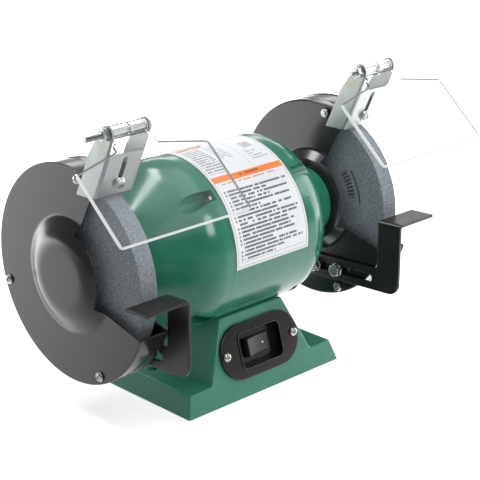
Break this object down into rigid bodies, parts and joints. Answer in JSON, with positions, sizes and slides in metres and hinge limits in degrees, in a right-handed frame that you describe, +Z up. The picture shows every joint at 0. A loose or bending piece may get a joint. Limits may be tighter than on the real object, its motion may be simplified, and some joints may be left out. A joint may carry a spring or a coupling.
{
  "type": "bench_grinder",
  "caption": "Twin-wheel bench grinder on a cast pedestal, with sheet guards, clear tilting eye shields, sliding tool rests and a rocker switch.",
  "frame": {"origin": "centre of the base's underside, in the plane it stands on", "axes": "X along the spindle, -Y is the operator's side with the switch, Z up"},
  "size_m": [0.3902, 0.2074, 0.2498],
  "materials": {
    "motor_enamel": "glossy mid-green enamel",
    "base_enamel": "satin green enamel over a fine casting texture",
    "guard_enamel": "satin black enamel",
    "rest_enamel": "satin black enamel on folded sheet",
    "switch_plastic": "moulded black plastic, slightly glossy",
    "dark_plastic": "dark plastic can",
    "rubber": "moulded rubber",
    "zinc_plate": "bright zinc plating",
    "machined_steel": "machined steel",
    "laminations": "stacked electrical steel",
    "copper_winding": "enamelled copper wire",
    "abrasive": "coarse speckled blue-grey bonded abrasive",
    "clear_polycarbonate": "clear moulded polycarbonate",
    "label_foil": "pale printed foil"
  },
  "bodies": {
    "root": {"base_casting": "base_enamel", "base_bottom_cover": "guard_enamel", "cord_gland": "rubber", "run_capacitor": "dark_plastic", "switch_plate": "switch_plastic", "switch_body": "switch_plastic", "switch_screw_left": "zinc_plate", "switch_screw_right": "zinc_plate", "motor_barrel": "motor_enamel", "left_end_bell": "motor_enamel", "right_end_bell": "motor_enamel", "stator_core": "laminations", "left_winding": "copper_winding", "right_winding": "copper_winding", "left_bearing": "machined_steel", "right_bearing": "machined_steel", "label_plate": "label_foil", "through_bolt_1": "zinc_plate", "through_bolt_2": "zinc_plate", "through_bolt_3": "zinc_plate", "through_bolt_4": "zinc_plate", "left_guard_housing": "guard_enamel", "left_guard_cover": "guard_enamel", "left_bracket_screw": "zinc_plate", "left_guard_screw_1": "zinc_plate", "left_guard_screw_2": "zinc_plate", "left_guard_screw_3": "zinc_plate", "left_rest_bolt_1": "zinc_plate", "left_rest_bolt_2": "zinc_plate", "right_guard_housing": "guard_enamel", "right_guard_cover": "guard_enamel", "right_bracket_screw": "zinc_plate", "right_guard_screw_1": "zinc_plate", "right_guard_screw_2": "zinc_plate", "right_guard_screw_3": "zinc_plate", "right_rest_bolt_1": "zinc_plate", "right_rest_bolt_2": "zinc_plate"},
    "spindle_assembly": {"spindle": "machined_steel", "rotor_core": "laminations", "left_grinding_wheel": "abrasive", "left_inner_flange": "machined_steel", "left_outer_flange": "machined_steel", "left_spindle_nut": "zinc_plate", "right_grinding_wheel": "abrasive", "right_inner_flange": "machined_steel", "right_outer_flange": "machined_steel", "right_spindle_nut": "zinc_plate"},
    "rocker": {"switch_rocker": "switch_plastic"},
    "left_bracket": {"left_shield_bracket": "zinc_plate", "left_hinge_bolt": "zinc_plate", "left_hinge_nut": "zinc_plate"},
    "left_shield": {"left_eye_shield": "clear_polycarbonate"},
    "left_rest": {"left_tool_rest": "rest_enamel"},
    "right_bracket": {"right_shield_bracket": "zinc_plate", "right_hinge_bolt": "zinc_plate", "right_hinge_nut": "zinc_plate"},
    "right_shield": {"right_eye_shield": "clear_polycarbonate"},
    "right_rest": {"right_tool_rest": "rest_enamel"}
  },
  "joints": [
    {"name": "spindle_spin", "type": "hinge", "parent": "root", "child": "spindle_assembly", "pos_m": [0, 0, 0.1213], "axis": [1, 0, 0], "continuous": true},
    {"name": "rocker_tilt", "type": "hinge", "parent": "root", "child": "rocker", "pos_m": [0, -0.04579, 0.03356], "axis": [0, 0.2823, 0.9593], "range_deg": [-16, 0]},
    {"name": "left_bracket_slide", "type": "slide", "parent": "root", "child": "left_bracket", "axis": [0, -0.4147, 0.91], "range_m": [-0.0015, 0.004]},
    {"name": "left_shield_tilt", "type": "hinge", "parent": "left_bracket", "child": "left_shield", "pos_m": [-0.1338, -0.05407, 0.24328], "axis": [1, 0, 0], "range_deg": [-70, 15]},
    {"name": "left_rest_slide", "type": "slide", "parent": "root", "child": "left_rest", "axis": [0, -0.9982, 0.0593], "range_m": [-0.001, 0.007]},
    {"name": "right_bracket_slide", "type": "slide", "parent": "root", "child": "right_bracket", "axis": [0, -0.4147, 0.91], "range_m": [-0.0015, 0.004]},
    {"name": "right_shield_tilt", "type": "hinge", "parent": "right_bracket", "child": "right_shield", "pos_m": [0.1338, -0.05407, 0.24328], "axis": [1, 0, 0], "range_deg": [-70, 15]},
    {"name": "right_rest_slide", "type": "slide", "parent": "root", "child": "right_rest", "axis": [0, -0.9982, 0.0593], "range_m": [-0.001, 0.007]}
  ]
}
